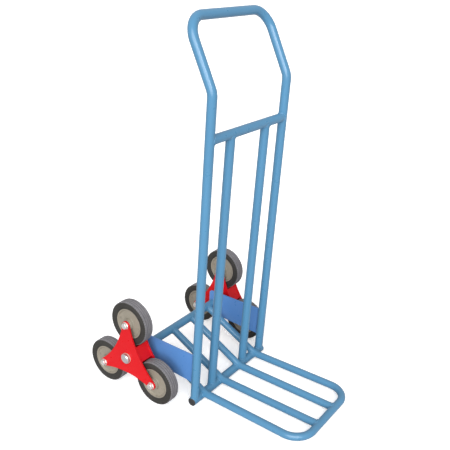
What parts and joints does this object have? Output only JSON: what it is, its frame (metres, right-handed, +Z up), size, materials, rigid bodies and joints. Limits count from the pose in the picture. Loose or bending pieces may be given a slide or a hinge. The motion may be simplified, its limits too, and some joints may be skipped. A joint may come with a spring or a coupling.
{
  "type": "stair climbing trolley",
  "caption": "Stair climbing hand truck: bent steel tube frame, tubular toe platform, and a turning star of solid rubber wheels on each side of one fixed axle.",
  "frame": {"origin": "on the floor, under the base cross tube and midway between the uprights' feet", "axes": "+Z up along the trolley's height; the toe platform points along -Y and the wheel stars stand behind at +Y; +X is the left hand of a person standing behind the handle"},
  "size_m": [0.5986, 0.797, 1.2388],
  "materials": {
    "frame_blue": "glossy enamel",
    "plate_blue": "glossy enamel",
    "star_red": "glossy enamel",
    "tyre_rubber": "moulded, dusty",
    "rim_plastic": "moulded",
    "zinc_steel": "zinc plated",
    "axle_steel": "turned, lightly oiled",
    "cap_chrome": "pressed and plated",
    "plug_plastic": "moulded",
    "bush_nylon": "machined nylon"
  },
  "bodies": {
    "frame": {"main_frame_tube": "frame_blue", "upper_crossbar": "frame_blue", "inner_upright_left": "frame_blue", "inner_upright_right": "frame_blue", "base_cross_tube": "frame_blue", "toe_loop_tube": "frame_blue", "toe_bar_left": "frame_blue", "toe_bar_right": "frame_blue", "axle_tube": "frame_blue", "side_plate_left": "plate_blue", "side_plate_right": "plate_blue", "base_end_plug_left": "plug_plastic", "base_end_plug_right": "plug_plastic", "star_axle": "axle_steel", "axle_spacer_left": "zinc_steel", "axle_spacer_right": "zinc_steel", "thrust_washers_left": "zinc_steel", "thrust_washers_right": "zinc_steel", "axle_circlip_left": "axle_steel", "axle_circlip_right": "axle_steel", "hub_cap_left": "cap_chrome", "hub_cap_right": "cap_chrome"},
    "star_left": {"star_plate_outer_left": "star_red", "star_plate_inner_left": "star_red", "star_web_plates_left": "star_red", "star_hub_tube_left": "star_red", "star_hub_bushes_left": "bush_nylon", "wheel_bolts_left": "zinc_steel", "wheel_nuts_left": "zinc_steel", "bolt_washers_left": "zinc_steel", "wheel_sleeves_left": "axle_steel"},
    "star_right": {"star_plate_outer_right": "star_red", "star_plate_inner_right": "star_red", "star_web_plates_right": "star_red", "star_hub_tube_right": "star_red", "star_hub_bushes_right": "bush_nylon", "wheel_bolts_right": "zinc_steel", "wheel_nuts_right": "zinc_steel", "bolt_washers_right": "zinc_steel", "wheel_sleeves_right": "axle_steel"},
    "wheel_top_left": {"tyre_top_left": "tyre_rubber", "wheel_rim_top_left": "rim_plastic", "wheel_bushes_top_left": "bush_nylon"},
    "wheel_front_left": {"tyre_front_left": "tyre_rubber", "wheel_rim_front_left": "rim_plastic", "wheel_bushes_front_left": "bush_nylon"},
    "wheel_rear_left": {"tyre_rear_left": "tyre_rubber", "wheel_rim_rear_left": "rim_plastic", "wheel_bushes_rear_left": "bush_nylon"},
    "wheel_top_right": {"tyre_top_right": "tyre_rubber", "wheel_rim_top_right": "rim_plastic", "wheel_bushes_top_right": "bush_nylon"},
    "wheel_front_right": {"tyre_front_right": "tyre_rubber", "wheel_rim_front_right": "rim_plastic", "wheel_bushes_front_right": "bush_nylon"},
    "wheel_rear_right": {"tyre_rear_right": "tyre_rubber", "wheel_rim_rear_right": "rim_plastic", "wheel_bushes_rear_right": "bush_nylon"}
  },
  "joints": [
    {"name": "star_left_spin", "type": "hinge", "parent": "frame", "child": "star_left", "pos_m": [0.2535, 0.2135, 0.13775], "axis": [1, 0, 0], "continuous": true},
    {"name": "star_right_spin", "type": "hinge", "parent": "frame", "child": "star_right", "pos_m": [-0.2535, 0.2135, 0.13775], "axis": [1, 0, 0], "continuous": true},
    {"name": "wheel_top_left_spin", "type": "hinge", "parent": "star_left", "child": "wheel_top_left", "pos_m": [0.2535, 0.2135, 0.26125], "axis": [1, 0, 0], "continuous": true},
    {"name": "wheel_front_left_spin", "type": "hinge", "parent": "star_left", "child": "wheel_front_left", "pos_m": [0.2535, 0.10655, 0.076], "axis": [1, 0, 0], "continuous": true},
    {"name": "wheel_rear_left_spin", "type": "hinge", "parent": "star_left", "child": "wheel_rear_left", "pos_m": [0.2535, 0.32045, 0.076], "axis": [1, 0, 0], "continuous": true},
    {"name": "wheel_top_right_spin", "type": "hinge", "parent": "star_right", "child": "wheel_top_right", "pos_m": [-0.2535, 0.2135, 0.26125], "axis": [1, 0, 0], "continuous": true},
    {"name": "wheel_front_right_spin", "type": "hinge", "parent": "star_right", "child": "wheel_front_right", "pos_m": [-0.2535, 0.10655, 0.076], "axis": [1, 0, 0], "continuous": true},
    {"name": "wheel_rear_right_spin", "type": "hinge", "parent": "star_right", "child": "wheel_rear_right", "pos_m": [-0.2535, 0.32045, 0.076], "axis": [1, 0, 0], "continuous": true}
  ]
}
